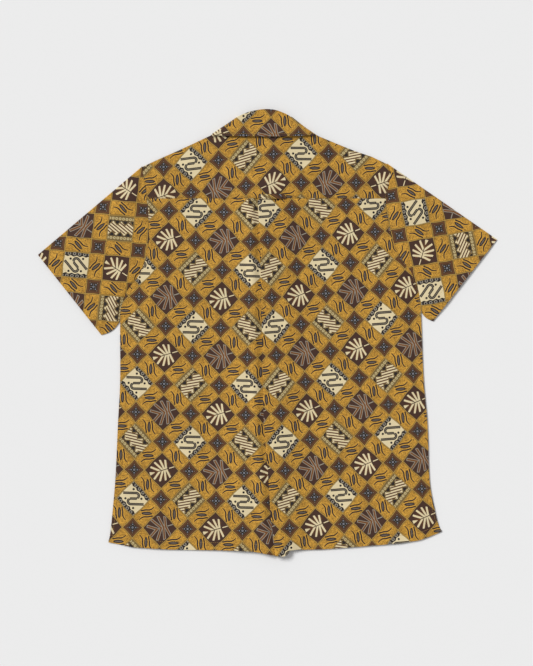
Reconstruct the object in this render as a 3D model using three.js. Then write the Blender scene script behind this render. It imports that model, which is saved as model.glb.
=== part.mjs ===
// A short-sleeved batik shirt, buttoned up and laid flat on its front, so that its back is uppermost.
// Millimetres. +X is towards the wearer's right sleeve, +Y towards the collar, +Z up from the surface.
// The panels lie on each other: collar leaves and buttons lowest, then the left front, the right front
// that it laps under, the back with its pleat, and last the collar's fall and the hanger loop.

import * as THREE from 'three';

// Cloth
const CLOTH = 1.0;             // wall of each cloth piece
const GAP = 0.3;               // air between pieces at a seam
const LAYER = CLOTH + GAP;     // from one layer of cloth to the next
const AIR = 1.2;               // loft between the back and the fronts, away from the seams
const AIR_REACH = 60;          // how far in from a seam the loft takes to build up

// Front opening
const CENTRE = -5;             // centre front line
const LAP = 16;                // half width of the overlap
const BUTTON_RADIUS = 5.75;
const BUTTON_HEIGHT = 2.2;
const BUTTON_HOLE_RADIUS = 0.9;
const BUTTON_HOLE_SPREAD = 1.7;
const BUTTON_NECK_Y = 277;
const BUTTON_TOP_Y = 212;
const BUTTON_PITCH = 88;
const BUTTON_COUNT = 6;

// Heights that the hidden layers add
const BUTTON_RISE = 2.5;       // a placket clears its buttons
const LAP_RISE = 1.6;          // the right front clears the left one where they lap
const LEAF_RISE = 2.5;         // the fronts clear the collar leaves
const RISE_INNER = 36;         // the placket is level out to here from the centre
const RISE_OUTER = 84;         // and down on the surface from here
const LEAF_SLOPE = 35;         // the fronts come down over this length beyond the leaves

// Yoke seam and hanger loop
const YOKE_SEAM = 244.4;
const LOOP = { left: -12, right: 34, bottom: 243, top: 251.5 };

// Outlines of the body, from the shoulder to the hem: the edge of each side at each level.
const LEFT_EDGE = [
  { x: -227, y: 302 }, { x: -226, y: 287 }, { x: -221, y: 260 }, { x: -220, y: 244.4 }, { x: -217, y: 222 },
  { x: -216, y: 190 }, { x: -216, y: 165 }, { x: -221, y: 136 }, { x: -234, y: 105 }, { x: -254, y: 78 },
  { x: -265, y: 50 }, { x: -268, y: 21 }, { x: -268, y: -86 }, { x: -272, y: -165 }, { x: -277, y: -270 },
  { x: -283, y: -323 }, { x: -290, y: -381 },
];
const RIGHT_EDGE = [
  { x: 217, y: 307 }, { x: 224, y: 290 }, { x: 219, y: 264 }, { x: 216, y: 244.4 }, { x: 215, y: 229 },
  { x: 222, y: 193 }, { x: 232, y: 158 }, { x: 243, y: 136 }, { x: 262, y: 109 }, { x: 274, y: 78 },
  { x: 277, y: 56 }, { x: 279, y: 38 }, { x: 284, y: -86 }, { x: 291, y: -165 }, { x: 295, y: -270 },
  { x: 306, y: -318 }, { x: 318, y: -361 },
];
const SEAM_ROW = 3;            // the row of both edges that lies on the yoke seam
const VENT_ROW = 14;           // from this row down the side seams are open
const FRONT_HEM_INSET = 2;     // the fronts end this much above the back's hem

// Lower edge of the back, corner to corner. The pleat's open end dips below the rest.
const HEM = [
  { x: -290, y: -381 }, { x: -268, y: -385 }, { x: -245, y: -390 }, { x: -181, y: -394 }, { x: -59, y: -396 },
  { x: -10, y: -399 }, { x: 14, y: -405 }, { x: 28, y: -406.5 }, { x: 40, y: -396 }, { x: 96, y: -394 },
  { x: 141, y: -391 }, { x: 241, y: -383 }, { x: 278, y: -377 }, { x: 299, y: -369 }, { x: 318, y: -361 },
];

// The centre pleat: its fold edge, and the depth of cloth folded under the edge.
const PLEAT = [
  { y: 244.4, x: -17, depth: 22.5 }, { y: 150, x: -12, depth: 22.5 }, { y: 40, x: -10, depth: 22 },
  { y: -160, x: -6, depth: 20 }, { y: -233, x: 0, depth: 17 }, { y: -310, x: 6, depth: 13 },
  { y: -352, x: 14, depth: 11 }, { y: -400, x: 20, depth: 9 },
];

// Upper edge of the yoke: shoulder, neck, shoulder.
const YOKE_TOP = [
  { seamX: -220, x: -227, y: 302 }, { seamX: -196, x: -197, y: 316 }, { seamX: -165, x: -165, y: 330 },
  { seamX: -130, x: -128, y: 347 }, { seamX: -100, x: -103, y: 358.5 }, { seamX: -80, x: -83, y: 371 },
  { seamX: -48, x: -48, y: 373 }, { seamX: -17, x: -17, y: 374 }, { seamX: 14, x: 12, y: 374 },
  { seamX: 44, x: 40, y: 373 }, { seamX: 72, x: 72, y: 371 }, { seamX: 92, x: 92, y: 357.5 },
  { seamX: 125, x: 125, y: 344 }, { seamX: 160, x: 160, y: 330 }, { seamX: 190, x: 190, y: 320 },
  { seamX: 216, x: 217, y: 307 },
];

// Front neck, from the shoulder to the end of the lap: the seam of front and stand, and the stand's
// upper edge. Each x is measured out from the centre line.
const NECK = [
  { seamX: 78, seamY: 371, topX: 52, topY: 391 }, { seamX: 70, seamY: 350, topX: 43, topY: 374 },
  { seamX: 58, seamY: 327, topX: 31, topY: 349 }, { seamX: 45, seamY: 303, topX: 20, topY: 326 },
  { seamX: 31, seamY: 283, topX: 11, topY: 307 }, { seamX: 16, seamY: 270, topX: 4, topY: 295 },
  { seamX: 0, seamY: 264, topX: 0, topY: 292 }, { seamX: -LAP, seamY: 262, topX: -LAP, topY: 291 },
];

// Collar across the back, from the left fold to the right fold: the roll line where the fall turns over
// the stand, the fall's free edge, and the seam of stand and yoke.
const COLLAR_BACK = [
  { rollX: -57, rollY: 392, edgeX: -110, edgeY: 358.5, seamX: -83, seamY: 371 },
  { rollX: -46, rollY: 397, edgeX: -82, edgeY: 357, seamX: -66, seamY: 372 },
  { rollX: -28, rollY: 402.5, edgeX: -46, edgeY: 356.3, seamX: -38, seamY: 373.3 },
  { rollX: -5, rollY: 406, edgeX: -6, edgeY: 356, seamX: -5, seamY: 374 },
  { rollX: 14, rollY: 404.5, edgeX: 34, edgeY: 356.3, seamX: 28, seamY: 373.5 },
  { rollX: 33, rollY: 398, edgeX: 68, edgeY: 357, seamX: 56, seamY: 372 },
  { rollX: 47, rollY: 391, edgeX: 97, edgeY: 358.5, seamX: 73, seamY: 371 },
];
const COLLAR_LEAF = { rollX: 4, rollY: 293, pointX: 45, pointY: 244 };   // x is from the centre line
const LEAF_STATIONS = 4;       // stations from a leaf's front edge to its fold
const STAND_INSET = 1.0;       // the stand's upper edge lies this far inside the fall's roll line
const FALL_LIFT = 1.6;         // the fall's free edge floats this much above the yoke
const FALL_LIFT_FROM = 400;    // and begins to rise below this level

// Sleeves. Upper fold, hem and underarm corners; the armhole is the body's edge.
const LEFT_SLEEVE = { top: { x: -417, y: 141 }, under: { x: -303, y: -3 }, bend: { x: 3, y: -4 } };
const RIGHT_SLEEVE = { top: { x: 417, y: 169 }, under: { x: 302, y: 22 }, bend: { x: -2, y: -2 } };
const SLEEVE_STATIONS = 7;
const ARMHOLE_ROWS = 12;       // rows of the body's edge that the armhole takes
const UNDERARM_ROOM = 2.2;     // the sleeve's underarm fold stays this far out of the side seam

const PRINTED_COTTON = { color: 0x8f6d3d, roughness: 0.9, metalness: 0 };
const BUTTON_RESIN = { color: 0x4a3424, roughness: 0.35, metalness: 0 };

// ---------------------------------------------------------------- small helpers

const clamp01 = (value) => Math.min(1, Math.max(0, value));
const mix = (a, b, t) => a + (b - a) * t;
const ramp = (value, from, to) => clamp01((value - from) / (to - from));

// Reads a column of a table whose rows fall in y.
function columnAt(table, column, y) {
  const last = table.length - 1;
  if (y >= table[0].y) return table[0][column];
  for (let i = 0; i < last; i += 1) {
    const a = table[i];
    const b = table[i + 1];
    if (y >= b.y) return mix(b[column], a[column], (y - b.y) / (a.y - b.y));
  }
  return table[last][column];
}

// Height of the shoulder line at a place along it.
function shoulderAt(x) {
  for (let i = 0; i < YOKE_TOP.length - 1; i += 1) {
    const a = YOKE_TOP[i];
    const b = YOKE_TOP[i + 1];
    if (x <= b.x) return mix(a.y, b.y, clamp01((x - a.x) / (b.x - a.x)));
  }
  return YOKE_TOP[YOKE_TOP.length - 1].y;
}

function hemAt(x) {
  for (let i = 0; i < HEM.length - 1; i += 1) {
    const a = HEM[i];
    const b = HEM[i + 1];
    if (x <= b.x) return mix(a.y, b.y, clamp01((x - a.x) / (b.x - a.x)));
  }
  return HEM[HEM.length - 1].y;
}

// ---------------------------------------------------------------- heights of the layers

// How far a point lies outside the two collar leaves, roughly, in plan.
function outsideLeaves(x, y) {
  const reach = mix(COLLAR_LEAF.pointX, 108, ramp(y, COLLAR_LEAF.pointY, 358));
  return Math.max(0, Math.abs(x - CENTRE) - reach, COLLAR_LEAF.pointY - y);
}

const buttonRise = (x) => BUTTON_RISE * ramp(Math.abs(x - CENTRE), RISE_OUTER, RISE_INNER);
const leafRise = (x, y) => LEAF_RISE * ramp(outsideLeaves(x, y), LEAF_SLOPE, 0);
const hiddenRise = (x, y) => Math.max(buttonRise(x), leafRise(x, y));
const lapRise = (x) => LAP_RISE * ramp(x - CENTRE, RISE_OUTER, RISE_INNER);

const leftFrontZ = (x, y) => hiddenRise(x, y);
const rightFrontZ = (x, y) => hiddenRise(x, y) + lapRise(x);

// Underside of the back: over both fronts, lifted by the air between them away from the seams.
function backZ(x, y) {
  const overLap = LAP_RISE * ramp(x - CENTRE, -RISE_OUTER, -RISE_INNER);
  const cover = x < CENTRE ? overLap : lapRise(x);
  const left = x - columnAt(LEFT_EDGE, 'x', y);
  const right = columnAt(RIGHT_EDGE, 'x', y) - x;
  const air = AIR * clamp01(Math.min(left, right) / AIR_REACH);
  return hiddenRise(x, y) + cover + LAYER + air;
}

// The yoke's lower edge climbs over the folded pleat that is caught in its seam.
function yokeZ(x, y) {
  const pleat = PLEAT[0];
  const beside = Math.max(0, pleat.x - x, x - pleat.x - pleat.depth);
  const climb = 2 * LAYER * ramp(beside, 40, 4) * ramp(y, YOKE_SEAM + 60, YOKE_SEAM + 10);
  return backZ(x, y) + climb;
}

// ---------------------------------------------------------------- cloth as a closed wall

const point = (x, y, z, nx = 0, ny = 0, nz = 1) => ({ at: [x, y, z], out: [nx, ny, nz] });

// Rows of points on the middle of a cloth become a wall of even thickness. A tube's rows close on themselves.
function clothWall(rows, { tube = false } = {}) {
  const count = rows[0].length;
  const half = CLOTH / 2;
  const positions = [];
  [1, -1].forEach((side) => rows.forEach((row) => row.forEach(({ at, out }) => {
    at.forEach((value, axis) => positions.push(value + side * half * out[axis]));
  })));
  const back = rows.length * count;
  const id = (i, j, layer) => layer * back + i * count + (j % count);
  const faces = [];
  const quad = (a, b, c, d) => faces.push(a, b, c, a, c, d);
  const columns = tube ? count : count - 1;
  for (let i = 0; i < rows.length - 1; i += 1) {
    for (let j = 0; j < columns; j += 1) {
      quad(id(i, j, 0), id(i, j + 1, 0), id(i + 1, j + 1, 0), id(i + 1, j, 0));
      quad(id(i, j, 1), id(i + 1, j, 1), id(i + 1, j + 1, 1), id(i, j + 1, 1));
    }
    if (!tube) {
      quad(id(i, 0, 0), id(i + 1, 0, 0), id(i + 1, 0, 1), id(i, 0, 1));
      quad(id(i + 1, count - 1, 0), id(i, count - 1, 0), id(i, count - 1, 1), id(i + 1, count - 1, 1));
    }
  }
  const end = rows.length - 1;
  for (let j = 0; j < columns; j += 1) {
    quad(id(0, j + 1, 0), id(0, j, 0), id(0, j, 1), id(0, j + 1, 1));
    quad(id(end, j, 0), id(end, j + 1, 0), id(end, j + 1, 1), id(end, j, 1));
  }
  if (signedVolume(positions, faces) < 0) faces.reverse();
  const geometry = new THREE.BufferGeometry();
  geometry.setAttribute('position', new THREE.Float32BufferAttribute(positions, 3));
  geometry.setIndex(faces);
  geometry.computeVertexNormals();
  return geometry;
}

function signedVolume(positions, faces) {
  const corner = (index) => new THREE.Vector3().fromArray(positions, index * 3);
  let volume = 0;
  for (let i = 0; i < faces.length; i += 3) {
    volume += corner(faces[i]).dot(corner(faces[i + 1]).cross(corner(faces[i + 2])));
  }
  return volume;
}

function part(name, geometry, finish) {
  const mesh = new THREE.Mesh(geometry, new THREE.MeshStandardMaterial(finish));
  mesh.name = name;
  return mesh;
}

const middle = CLOTH / 2;

// ---------------------------------------------------------------- back panel

const PANEL_STEPS = [0, 0.05, 0.2, 0.4, 0.6, 0.8];     // places across each half of a panel
const FOLD_STEPS = 3;                                   // facets round each fold

// One row across the back: the left half, the pleat folded under, and the right half.
function backRow(left, right, bend) {
  const along = (x) => mix(left.y, right.y, (x - left.x) / (right.x - left.x));
  const rowY = (x) => mix(along(x), hemAt(x), bend);
  const nominal = along((left.x + right.x) / 2);
  const fold = columnAt(PLEAT, 'x', nominal);
  const depth = columnAt(PLEAT, 'depth', nominal);
  const tip = fold + depth;
  const turn = LAYER / 2;
  const base = (x) => backZ(x, rowY(x)) + middle;
  const level = Math.max(base(fold), base(tip));
  const flat = (x, z) => point(x, rowY(x), z);
  const start = fold - 30;
  const finish = tip + 30;
  const row = [];
  PANEL_STEPS.forEach((t) => row.push(flat(mix(left.x, start, t), base(mix(left.x, start, t)))));
  row.push(flat(start, base(start)), flat(fold - 4, level), flat(tip, level));
  for (let k = 1; k < FOLD_STEPS; k += 1) {
    const angle = Math.PI * k / FOLD_STEPS;
    const x = tip + turn * Math.sin(angle);
    row.push(point(x, rowY(x), level + turn * (1 - Math.cos(angle)), -Math.sin(angle), 0, Math.cos(angle)));
  }
  row.push(point(tip, rowY(tip), level + LAYER, 0, 0, -1), point(fold, rowY(fold), level + LAYER, 0, 0, -1));
  for (let k = 1; k < FOLD_STEPS; k += 1) {
    const angle = Math.PI * k / FOLD_STEPS;
    const x = fold - turn * Math.sin(angle);
    const z = level + LAYER + turn * (1 - Math.cos(angle));
    row.push(point(x, rowY(x), z, -Math.sin(angle), 0, -Math.cos(angle)));
  }
  row.push(flat(fold, level + 2 * LAYER), flat(tip + 4, level + 2 * LAYER), flat(finish, base(finish)));
  [...PANEL_STEPS].reverse().forEach((t) => {
    const x = mix(right.x, finish, t);
    row.push(flat(x, base(x)));
  });
  return row;
}

function backPanel() {
  const rows = [];
  for (let i = SEAM_ROW; i < LEFT_EDGE.length; i += 1) {
    const bend = ramp(i, VENT_ROW, LEFT_EDGE.length - 1) ** 2;
    const left = { ...LEFT_EDGE[i] };
    const right = { ...RIGHT_EDGE[i] };
    if (i === SEAM_ROW) {
      left.y -= GAP / 2;
      right.y -= GAP / 2;
    }
    rows.push(backRow(left, right, bend));
  }
  return part('back_panel', clothWall(rows), PRINTED_COTTON);
}

// ---------------------------------------------------------------- yoke and hanger loop

// Levels from the seam up, and the row of the armhole edge that each reaches.
const YOKE_LEVELS = [
  { up: 0, row: 3 }, { up: 0.1, row: 2.7 }, { up: 0.29, row: 2 }, { up: 0.5, row: 1.5 },
  { up: 0.73, row: 1 }, { up: 1, row: 0 },
];

// A place on an armhole edge, at a whole row or between two.
function edgePoint(table, row) {
  const above = table[Math.floor(row)];
  const below = table[Math.ceil(row)];
  const t = row - Math.floor(row);
  return { x: mix(above.x, below.x, t), y: mix(above.y, below.y, t) };
}

function backYoke() {
  const bottom = YOKE_SEAM + GAP / 2;
  const rows = YOKE_LEVELS.map(({ up, row }) => YOKE_TOP.map((column, i) => {
    let place = { x: mix(column.seamX, column.x, up), y: mix(bottom, column.y, up) };
    if (i === 0) place = edgePoint(LEFT_EDGE, row);
    if (i === YOKE_TOP.length - 1) place = edgePoint(RIGHT_EDGE, row);
    const y = Math.max(place.y, bottom);
    return point(place.x, y, yokeZ(place.x, y) + middle);
  }));
  return part('back_yoke', clothWall(rows), PRINTED_COTTON);
}

function hangerLoop() {
  const columns = 7;
  const levels = [LOOP.top, (LOOP.top + YOKE_SEAM) / 2, YOKE_SEAM, LOOP.bottom];
  const onTop = (x) => yokeZ(x, YOKE_SEAM) + LAYER + 0.3;
  const rows = levels.map((y) => Array.from({ length: columns }, (_, j) => {
    const x = mix(LOOP.left, LOOP.right, j / (columns - 1));
    return point(x, y, onTop(x) + middle);
  }));
  return part('hanger_loop', clothWall(rows), PRINTED_COTTON);
}

// ---------------------------------------------------------------- fronts

const FRONT_STEPS = [0, 0.08, 0.3, 0.55, 0.8, 1];      // places from the side edge to the placket's slope

// Where a row of a front ends: on the neck seam, or on the front edge below it.
function frontEnd(i, side) {
  if (i < NECK.length) return { x: CENTRE + side * NECK[i].seamX, y: NECK[i].seamY };
  const neckRow = NECK.length - 1;
  if (i > ARMHOLE_ROWS) return { x: CENTRE - side * LAP, y: LEFT_EDGE[i].y };
  const down = (i - neckRow) / (ARMHOLE_ROWS - neckRow);
  return { x: CENTRE - side * LAP, y: mix(NECK[neckRow].seamY, LEFT_EDGE[ARMHOLE_ROWS].y, down) };
}

// One row across a front, from the side edge to the front edge. Its columns keep to the placket's slope.
function frontRow(outer, inner, side, height, shoulder, bend) {
  const full = CENTRE - side * LAP;
  const slope = CENTRE + side * RISE_OUTER;
  const stops = FRONT_STEPS.map((t) => mix(outer.x, slope, t));
  stops.push(CENTRE + side * (RISE_OUTER + RISE_INNER) / 2, CENTRE + side * RISE_INNER, full);
  return stops.map((stop) => {
    const t = (stop - outer.x) / (full - outer.x);
    const x = mix(outer.x, inner.x, t);
    const straight = mix(outer.y, inner.y, t);
    const y = straight + shoulder * (shoulderAt(x) - straight) + bend * (hemAt(x) + FRONT_HEM_INSET - straight);
    return point(x, y, height(x, y) + middle);
  });
}

function front(name, edge, side, height) {
  const rows = edge.map((outer, i) => {
    const shoulder = i === 0 ? 1 : 0;
    const bend = ramp(i, VENT_ROW, edge.length - 1) ** 2;
    return frontRow(outer, frontEnd(i, side), side, height, shoulder, bend);
  });
  return part(name, clothWall(rows), PRINTED_COTTON);
}

// ---------------------------------------------------------------- collar

const COLLAR_STEPS = [0, 1 / 3, 2 / 3, 1];             // places from the roll line to the free edge
const STAND_STEPS = [0, 0.5, 1];
const TURN_STEPS = 4;                                  // facets round a folded side

// A run of cloth round a folded side, from the under layer to the upper one. Both ends are included.
function turnedSide(inner, outer, steps, lower, upper, side) {
  const length = Math.hypot(outer.x - inner.x, outer.y - inner.y);
  const away = { x: side * (inner.y - outer.y) / length, y: side * (outer.x - inner.x) / length };
  return Array.from({ length: TURN_STEPS + 1 }, (_, k) => {
    const angle = Math.PI * k / TURN_STEPS;
    return steps.map((t) => {
      const x = mix(inner.x, outer.x, t);
      const y = mix(inner.y, outer.y, t);
      const radius = (upper(x, y) - lower(x, y)) / 2;
      const reach = radius * Math.sin(angle);
      const z = lower(x, y) + radius * (1 - Math.cos(angle));
      return point(x + away.x * reach, y + away.y * reach, z,
        away.x * Math.sin(angle), away.y * Math.sin(angle), -Math.cos(angle));
    });
  });
}

// A straight station of cloth, facing up or down.
function station(inner, outer, steps, height, facing) {
  return steps.map((t) => {
    const x = mix(inner.x, outer.x, t);
    const y = mix(inner.y, outer.y, t);
    return point(x, y, height(x, y), 0, 0, facing);
  });
}

const lowest = () => middle;
const onBack = (x, y) => backZ(x, y) + middle;
const fallLift = (y) => FALL_LIFT * ramp(y, FALL_LIFT_FROM, COLLAR_BACK[0].edgeY);
const overStand = (x, y) => backZ(x, y) + LAYER + fallLift(y) + middle;
const roll = (row) => ({ x: row.rollX, y: row.rollY });
const edge = (row) => ({ x: row.edgeX, y: row.edgeY });

function collarLeaf(row, side) {
  const front = { x: CENTRE + side * COLLAR_LEAF.rollX, y: COLLAR_LEAF.rollY };
  const tip = { x: CENTRE + side * COLLAR_LEAF.pointX, y: COLLAR_LEAF.pointY };
  return Array.from({ length: LEAF_STATIONS }, (_, k) => {
    const t = k / LEAF_STATIONS;
    const inner = { x: mix(front.x, row.rollX, t), y: mix(front.y, row.rollY, t) };
    const outer = { x: mix(tip.x, row.edgeX, t), y: mix(tip.y, row.edgeY, t) };
    return station(inner, outer, COLLAR_STEPS, lowest, -1);
  });
}

function collarFall() {
  const left = COLLAR_BACK[0];
  const right = COLLAR_BACK[COLLAR_BACK.length - 1];
  const rows = [
    ...collarLeaf(left, -1),
    ...turnedSide(roll(left), edge(left), COLLAR_STEPS, lowest, overStand, -1),
    ...COLLAR_BACK.slice(1, -1).map((row) => station(roll(row), edge(row), COLLAR_STEPS, overStand, 1)),
    ...turnedSide(roll(right), edge(right), COLLAR_STEPS, lowest, overStand, 1).reverse(),
    ...collarLeaf(right, 1).reverse(),
  ];
  return part('collar_fall', clothWall(rows), PRINTED_COTTON);
}

// The stand's front half on one side, from the end of the lap to the last station before the fold.
function standFront(side, height) {
  return NECK.slice(1).reverse().map((row) => {
    const top = { x: CENTRE + side * row.topX, y: row.topY };
    const seam = { x: CENTRE + side * (row.seamX - GAP), y: row.seamY + GAP };
    return station(top, seam, STAND_STEPS, (x, y) => height(x, y) + middle, -1);
  });
}

function collarStand() {
  const top = (row) => ({ x: row.rollX, y: row.rollY - STAND_INSET });
  const seam = (row) => ({ x: row.seamX, y: row.seamY + GAP + 0.2 });
  const fold = (row, side, height) => turnedSide(
    { x: row.rollX - side * STAND_INSET, y: row.rollY - STAND_INSET },
    { x: row.seamX - side * STAND_INSET, y: row.seamY + STAND_INSET },
    STAND_STEPS, (x, y) => height(x, y) + middle, onBack, side,
  );
  const left = COLLAR_BACK[0];
  const right = COLLAR_BACK[COLLAR_BACK.length - 1];
  const rows = [
    ...standFront(-1, leftFrontZ),
    ...fold(left, -1, leftFrontZ),
    ...COLLAR_BACK.slice(1, -1).map((row) => station(top(row), seam(row), STAND_STEPS, onBack, 1)),
    ...fold(right, 1, rightFrontZ).reverse(),
    ...standFront(1, rightFrontZ).reverse(),
  ];
  return part('collar_stand', clothWall(rows), PRINTED_COTTON);
}

// ---------------------------------------------------------------- sleeves

// The armhole end of a sleeve: the body's edge moved out by the seam's gap.
function armhole(edgeRows, side) {
  const rows = edgeRows.slice(0, ARMHOLE_ROWS);
  return rows.map((row, i) => {
    const before = rows[Math.max(0, i - 1)];
    const after = rows[Math.min(rows.length - 1, i + 1)];
    const length = Math.hypot(after.x - before.x, after.y - before.y);
    const away = { x: side * (before.y - after.y) / length, y: side * (after.x - before.x) / length };
    const room = i === rows.length - 1 ? UNDERARM_ROOM : GAP;
    return { x: row.x + away.x * room, y: row.y + away.y * room };
  });
}

// A flattened tube: rings of cloth from the armhole to the hem, each over the upper layer and back under.
function sleeve(name, edgeRows, side, { top, under, bend }) {
  const end = armhole(edgeRows, side);
  const last = end.length - 1;
  const direction = (a, b) => {
    const length = Math.hypot(b.x - a.x, b.y - a.y);
    return { x: side * (b.y - a.y) / length, y: side * (a.x - b.x) / length };
  };
  const upward = direction(top, end[0]);
  const downward = direction(end[last], under);
  const rows = Array.from({ length: SLEEVE_STATIONS }, (_, k) => {
    const f = k / (SLEEVE_STATIONS - 1);
    const along = end.map((start, i) => {
      const s = i / last;
      const dip = s * s * Math.sin(Math.PI * f);
      return {
        s,
        x: mix(start.x, mix(top.x, under.x, s), f) + bend.x * dip,
        y: mix(start.y, mix(top.y, under.y, s), f) + bend.y * dip,
      };
    });
    const air = (s) => AIR * clamp01(4 * f) * clamp01(5 * Math.min(s, 1 - s));
    const upper = along.map(({ s, x, y }) => point(x, y, LAYER + air(s) + middle));
    const lower = along.map(({ x, y }) => point(x, y, middle, 0, 0, -1)).reverse();
    const turn = (at, away, over) => [1, 2].map((step) => {
      const angle = Math.PI * step / 3;
      const reach = LAYER / 2 * Math.sin(angle);
      const z = middle + LAYER / 2 * (1 + over * Math.cos(angle));
      return point(at.x + away.x * reach, at.y + away.y * reach, z,
        away.x * Math.sin(angle), away.y * Math.sin(angle), over * Math.cos(angle));
    });
    return [...upper, ...turn(along[last], downward, 1), ...lower, ...turn(along[0], upward, -1)];
  });
  return part(name, clothWall(rows, { tube: true }), PRINTED_COTTON);
}

// ---------------------------------------------------------------- buttons

function button(name, y) {
  const disc = new THREE.Shape();
  disc.absarc(0, 0, BUTTON_RADIUS, 0, 2 * Math.PI);
  [[1, 1], [-1, 1], [-1, -1], [1, -1]].forEach(([across, along]) => {
    const hole = new THREE.Path();
    const spread = BUTTON_HOLE_SPREAD;
    hole.absarc(across * spread, along * spread, BUTTON_HOLE_RADIUS, 0, 2 * Math.PI, true);
    disc.holes.push(hole);
  });
  const geometry = new THREE.ExtrudeGeometry(disc, { depth: BUTTON_HEIGHT, bevelEnabled: false, curveSegments: 6 });
  geometry.translate(CENTRE, y, 0);
  return part(name, geometry, BUTTON_RESIN);
}

// ---------------------------------------------------------------- the shirt

const shirt = new THREE.Group();
shirt.add(backPanel(), backYoke(), hangerLoop());
shirt.add(front('left_front', LEFT_EDGE, -1, leftFrontZ));
shirt.add(front('right_front', RIGHT_EDGE, 1, rightFrontZ));
shirt.add(collarFall(), collarStand());
shirt.add(sleeve('left_sleeve', LEFT_EDGE, -1, LEFT_SLEEVE));
shirt.add(sleeve('right_sleeve', RIGHT_EDGE, 1, RIGHT_SLEEVE));
shirt.add(button('button_neck', BUTTON_NECK_Y));
for (let i = 0; i < BUTTON_COUNT; i += 1) shirt.add(button(`button_${i + 1}`, BUTTON_TOP_Y - i * BUTTON_PITCH));

export default shirt;
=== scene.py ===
import math
from functools import partial

import bmesh
import bpy
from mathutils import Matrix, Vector, noise


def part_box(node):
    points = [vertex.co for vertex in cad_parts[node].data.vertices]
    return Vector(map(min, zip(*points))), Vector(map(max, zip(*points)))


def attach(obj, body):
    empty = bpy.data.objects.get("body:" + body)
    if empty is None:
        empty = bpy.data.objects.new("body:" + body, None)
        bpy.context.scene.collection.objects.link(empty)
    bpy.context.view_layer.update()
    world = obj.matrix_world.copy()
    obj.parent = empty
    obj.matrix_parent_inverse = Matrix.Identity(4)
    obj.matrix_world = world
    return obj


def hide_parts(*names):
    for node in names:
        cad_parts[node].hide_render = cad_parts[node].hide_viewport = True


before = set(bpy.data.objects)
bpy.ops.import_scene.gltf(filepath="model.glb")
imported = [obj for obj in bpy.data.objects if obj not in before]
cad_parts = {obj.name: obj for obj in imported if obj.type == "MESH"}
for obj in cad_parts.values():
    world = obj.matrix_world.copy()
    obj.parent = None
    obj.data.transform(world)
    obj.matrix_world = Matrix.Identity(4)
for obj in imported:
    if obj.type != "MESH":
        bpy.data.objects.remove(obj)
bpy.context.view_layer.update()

bl_info = {
    "name": "Batik Shirt",
    "version": (1, 0, 0),
    "blender": (4, 5, 0),
    "location": "3D View > Sidebar > Batik Shirt",
    "description": "A short-sleeved batik shirt laid flat with its back up",
    "category": "Add Mesh",
}

# Lengths in the tables are millimetres; meshes are made in metres.
MM = 0.001

# Cloth layers, as they lie on each other
CLOTH = 1.0
GAP = 0.3
LAYER = CLOTH + GAP
AIR = 1.2
AIR_REACH = 60
CENTRE = -5                    # centre front line
LAP = 16                       # half width of the lap
BUTTON_RISE = 2.5
LAP_RISE = 1.6
LEAF_RISE = 2.5
LEAF_SLOPE = 35
RISE_INNER = 36
RISE_OUTER = 84
YOKE_SEAM = 244.4
SEAM_ROW = 3                   # the edge row on the yoke seam
ARMHOLE_ROWS = 12
VENT_ROW = 14
FRONT_HEM_INSET = 2
UNDERARM_ROOM = 1.6
FALL_LIFT = 1.6
FALL_LIFT_FROM = 400
FALL_CURL = 2.4                # the fall's free edge stands this much prouder of the yoke
SEAM_SINK = 0.7
PLEAT_ROLL = 3.4               # the cloth rolls up this much before it turns under at the pleat
SEAM_REACH = 4
PUCKER = 0.25
PUCKER_REACH = 18
UNDERARM = 78
MIDDLE = CLOTH / 2
LOWEST = 0.35                  # middle of the cloth that lies on the floor
LEAF_HEIGHT = 0.55             # middle of a collar leaf on the floor
SLEEVE_REST = 0.15             # play between the two layers of a sleeve
PLEAT_REACH = 30               # the pleat's layers smooth out over this on each side
PLEAT_EDGE = 2
PLEAT_PEAK = 0.62
PLEAT_SWELL = 3.2              # how far the pleat opens at the hem
PLEAT_OPENS = (-300, -385)
YOKE_CLIMB = 24                # the yoke's print climbs this much at its left end
YOKE_STRAIGHT = 27
YOKE_SPAN = 213

# Edges of the body from the shoulder to the hem
LEFT_EDGE = [
    (-227, 302), (-226, 287), (-221, 260), (-220, 244.4), (-217, 222), (-216, 190), (-216, 165),
    (-221, 136), (-234, 105), (-254, 78), (-265, 50), (-268, 21), (-268, -86), (-272, -165),
    (-277, -270), (-283, -323), (-290, -381),
]
RIGHT_EDGE = [
    (217, 307), (224, 290), (219, 264), (216, 244.4), (215, 229), (222, 193), (232, 158),
    (243, 136), (262, 109), (274, 78), (277, 56), (279, 38), (284, -86), (291, -165),
    (295, -270), (306, -318), (318, -361),
]
HEM = [
    (-290, -381), (-268, -385), (-245, -390), (-181, -394), (-59, -396), (-26, -397.5), (-8, -400.5),
    (8, -403.5), (19, -405.6), (30, -405.3), (35, -403.6), (38.4, -400), (40.2, -395), (45, -394.5),
    (96, -394), (141, -391), (241, -383), (278, -377), (299, -369), (318, -361),
]
# Centre pleat: level, fold edge, depth folded under
PLEAT = [
    (244.4, -17, 22.5), (150, -12, 22.5), (40, -10, 22), (-160, -6, 20), (-233, 0, 17),
    (-310, 6, 13), (-352, 14, 11), (-400, 20, 9),
]
# Upper edge of the yoke: x on the seam, x and y on the edge
YOKE_TOP = [
    (-220, -227, 302), (-196, -197, 316), (-165, -165, 330), (-130, -128, 347), (-100, -103, 358.5),
    (-80, -83, 371), (-48, -48, 373), (-17, -17, 374), (14, 12, 374), (44, 40, 373), (72, 72, 371),
    (92, 92, 357.5), (125, 125, 344), (160, 160, 330), (190, 190, 320), (216, 217, 307),
]
# Front neck, out from the centre line: seam x, seam y, stand top x, stand top y
NECK = [
    (78, 371, 52, 391), (70, 350, 43, 374), (58, 327, 31, 349), (45, 303, 20, 326),
    (31, 283, 11, 307), (16, 270, 4, 295), (0, 264, 0, 292), (-LAP, 262, -LAP, 291),
]
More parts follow.
